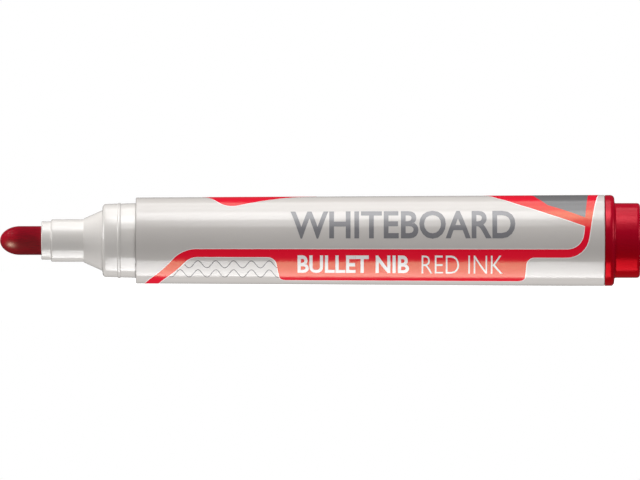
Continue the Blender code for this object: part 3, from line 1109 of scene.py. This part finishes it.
CAMERA_RISE = 0.1 * MM
CAMERA_LENS = 1000.0
CAMERA_SENSOR = 36.0
FLOOR_REACH = 1.5
ROOM_LIGHT = 0.06
NIB_POINT = (-0.06, 0.0, 0.01)
NIB, NOSE, PLUG = "bullet_nib", "nose_section", "end_plug_body"

# Each soft light: its place, width, depth, power in watts and the point it faces.
# The barrel would mirror a light beyond its far end as a white stripe, so only the nose or only
# the plug gets such a light. The wet nib would mirror the panels that shape the barrel, so it has
# two lamps of its own. The low panel would leave a pale stripe on the plug, so a red panel takes
# its place there. The fill brightens without a reflection, so it doesn't widen the bands.
LIGHTS = {
    "light_over_front": ((0.0, -0.25, 0.6), 0.24, 0.30, 2.20, (0.0, -0.25, 0.0)),
    "light_over_middle": ((0.0, 0.0, 0.6), 0.24, 0.20, 0.70, (0.0, 0.0, 0.0)),
    "light_over_back": ((0.0, 0.22, 0.6), 0.24, 0.24, 0.50, (0.0, 0.22, 0.0)),
    "light_over_viewer": ((0.0, -0.59, 0.6), 0.24, 0.38, 1.15, (0.0, -0.59, 0.0)),
    "light_underneath": ((0.0, -0.08, -0.5), 0.24, 0.52, 3.20, (0.0, -0.08, 0.0)),
    "light_fill": ((0.0, -0.22, 0.6), 0.40, 0.30, 1.42, (0.0, 0.0, 0.01)),
    "light_beyond_nib": ((-0.55, -0.05, 0.15), 0.30, 0.30, 2.00, (-0.05, 0.0, 0.01)),
    "light_beyond_plug": ((0.55, -0.12, 0.18), 0.30, 0.30, 1.20, (0.05, 0.0, 0.01)),
    "nib_lamp_above": ((-0.084, -0.006, 0.044), 0.02, 0.02, 0.016, NIB_POINT),
    "nib_lamp_low": ((-0.079, -0.0175, -0.007), 0.0105, 0.0105, 0.0036, NIB_POINT),
    "plug_panel_low": ((0.0, -0.08, -0.5), 0.24, 0.46, 2.70, (0.0, -0.08, 0.0)),
}
LIGHT_ONLY = {
    "light_beyond_nib": NOSE,
    "light_beyond_plug": PLUG,
    "nib_lamp_above": NIB,
    "nib_lamp_low": NIB,
    "plug_panel_low": PLUG,
}
LIGHT_SPARES = {"light_underneath": (NIB, PLUG)}
LIGHT_TINTS = {"nib_lamp_low": "#FFEFCF", "plug_panel_low": "#FF6478"}
NOT_MIRRORED = ("light_fill", "nib_lamp_above")


def soft_light(name, place, width, depth, power, aim):
    """A soft rectangular light that the camera doesn't see."""
    lamp = bpy.data.lights.new(name, "AREA")
    lamp.shape = "RECTANGLE"
    lamp.size = width
    lamp.size_y = depth
    lamp.energy = power
    lamp.color = linear(LIGHT_TINTS.get(name, WHITE))
    box = placed(name, lamp)
    box.location = place
    box.rotation_euler = (Vector(aim) - Vector(place)).to_track_quat("-Z", "Y").to_euler()
    box.visible_camera = False
    box.visible_glossy = name not in NOT_MIRRORED
    return box


def link_light(light, state, pieces):
    """Keeps a light off some pieces (EXCLUDE) or on those pieces alone (INCLUDE), as flags do."""
    name = light.name + "_receivers"
    if name in bpy.data.collections:
        bpy.data.collections.remove(bpy.data.collections[name])
    receivers = bpy.data.collections.new(name)
    light.light_linking.receiver_collection = receivers
    for piece in pieces:
        receivers.objects.link(bpy.data.objects[piece])
    for linked in receivers.collection_objects:
        linked.light_linking.link_state = state


def make_lights():
    """Sets up the lights: some reach one piece alone, and the rest spare the nib."""
    for name, settings in LIGHTS.items():
        light = soft_light(name, *settings)
        if name in LIGHT_ONLY:
            link_light(light, "INCLUDE", [LIGHT_ONLY[name]])
        else:
            link_light(light, "EXCLUDE", LIGHT_SPARES.get(name, [NIB]))


def make_stage(scene):
    """Plain white floor, soft lights, and the camera at the marker's height."""
    mesh = bpy.data.meshes.new("floor")
    near, far = -FLOOR_REACH, FLOOR_REACH
    mesh.from_pydata(
        [(near, near, 0), (far, near, 0), (far, far, 0), (near, far, 0)], [], [(0, 1, 2, 3)]
    )
    mesh.materials.append(matt_paper("matt_white_paper"))
    floor = placed("floor", mesh)
    floor.visible_diffuse = False
    floor.visible_glossy = False
    floor.visible_shadow = False
    make_lights()

    world = bpy.data.worlds.new("studio")
    world.use_nodes = True
    scene.world = world
    tree = world.node_tree
    seen = add_node(tree, "ShaderNodeLightPath").outputs["Is Camera Ray"]
    # The camera sees white behind the floor, and the marker gets only dim room light from it.
    dimming = {"Value": seen, "To Min": ROOM_LIGHT, "To Max": 1.0}
    strength = add_node(tree, "ShaderNodeMapRange", dimming)
    backdrop = {"Color": (*linear(WHITE), 1.0), "Strength": strength}
    feed(tree, tree.nodes["Background"], backdrop)

    lens = bpy.data.cameras.new("camera")
    lens.lens = CAMERA_LENS
    lens.sensor_width = CAMERA_SENSOR
    camera = placed("camera", lens)
    distance = (PLUG_REAR - NIB_FRONT) * CAMERA_LENS / CAMERA_SENSOR
    camera.location = ((PLUG_REAR + NIB_FRONT) / 2, -distance, AXIS_HEIGHT + CAMERA_RISE)
    camera.rotation_euler = (math.pi / 2, 0.0, 0.0)
    scene.camera = camera
    scene.view_settings.view_transform = "Standard"


# ------------ operators


class MARKER_OT_barrel(bpy.types.Operator):
    """Build the barrel and the ribs inside it"""

    bl_idname = "marker.barrel"
    bl_label = "Barrel"

    def execute(self, context):
        make_barrel(context.scene)
        return {"FINISHED"}


class MARKER_OT_nose(bpy.types.Operator):
    """Build the stepped nose that holds the nib"""

    bl_idname = "marker.nose"
    bl_label = "Nose"

    def execute(self, context):
        make_nose(context.scene)
        return {"FINISHED"}


class MARKER_OT_nib(bpy.types.Operator):
    """Build the felt nib"""

    bl_idname = "marker.nib"
    bl_label = "Nib"

    def execute(self, context):
        make_nib(context.scene)
        return {"FINISHED"}


class MARKER_OT_reservoir(bpy.types.Operator):
    """Build the ink reservoir and its film"""

    bl_idname = "marker.reservoir"
    bl_label = "Reservoir"

    def execute(self, context):
        make_reservoir(context.scene)
        return {"FINISHED"}


class MARKER_OT_plug(bpy.types.Operator):
    """Build the end plug and its stop ribs"""

    bl_idname = "marker.plug"
    bl_label = "End plug"

    def execute(self, context):
        make_plug(context.scene)
        return {"FINISHED"}


class MARKER_OT_print(bpy.types.Operator):
    """Print the label's flat shapes on the barrel"""

    bl_idname = "marker.print_shapes"
    bl_label = "Label shapes"

    def execute(self, context):
        make_print(context.scene)
        return {"FINISHED"}


class MARKER_OT_waves(bpy.types.Operator):
    """Print the wavy lines on the barrel"""

    bl_idname = "marker.print_waves"
    bl_label = "Label waves"

    def execute(self, context):
        make_waves(context.scene)
        return {"FINISHED"}


class MARKER_OT_lettering(bpy.types.Operator):
    """Print the plain lettering on the barrel"""

    bl_idname = "marker.print_lettering"
    bl_label = "Label lettering"

    def execute(self, context):
        make_lettering(context.scene)
        return {"FINISHED"}


class MARKER_OT_stage(bpy.types.Operator):
    """Set up the floor, the lights and the camera. Run it again when a piece is rebuilt"""

    bl_idname = "marker.stage"
    bl_label = "Stage"

    def execute(self, context):
        make_stage(context.scene)
        return {"FINISHED"}


OPERATORS = (
    MARKER_OT_barrel,
    MARKER_OT_nose,
    MARKER_OT_nib,
    MARKER_OT_reservoir,
    MARKER_OT_plug,
    MARKER_OT_print,
    MARKER_OT_waves,
    MARKER_OT_lettering,
    MARKER_OT_stage,
)

SETTINGS = {
    "marker_barrel": MarkerBarrelSizes,
    "marker_nose": MarkerNoseSizes,
    "marker_core": MarkerCoreSizes,
    "marker_plug": MarkerPlugSizes,
    "marker_label": MarkerLabelSizes,
    "marker_colours": MarkerColours,
}


class MARKER_PT_panel(bpy.types.Panel):
    """Lists the marker's pieces and settings in the sidebar"""

    bl_label = "Whiteboard marker"
    bl_idname = "MARKER_PT_panel"
    bl_space_type = "VIEW_3D"
    bl_region_type = "UI"
    bl_category = "Marker"

    def draw(self, context):
        for operator in OPERATORS:
            self.layout.operator(operator.bl_idname)
        for name, group in SETTINGS.items():
            box = self.layout.box()
            for prop in group.__annotations__:
                box.prop(getattr(context.scene, name), prop)


CLASSES = (*SETTINGS.values(), *OPERATORS, MARKER_PT_panel)


def register():
    for cls in CLASSES:
        bpy.utils.register_class(cls)
    for name, group in SETTINGS.items():
        setattr(bpy.types.Scene, name, bpy.props.PointerProperty(type=group))


def unregister():
    for name in SETTINGS:
        delattr(bpy.types.Scene, name)
    for cls in reversed(CLASSES):
        bpy.utils.unregister_class(cls)


def main():
    register()
    bpy.ops.marker.barrel()
    bpy.ops.marker.nose()
    bpy.ops.marker.nib()
    bpy.ops.marker.reservoir()
    bpy.ops.marker.plug()
    bpy.ops.marker.print_shapes()
    bpy.ops.marker.print_waves()
    bpy.ops.marker.print_lettering()
    bpy.ops.marker.stage()


if __name__ == "__main__":
    main()
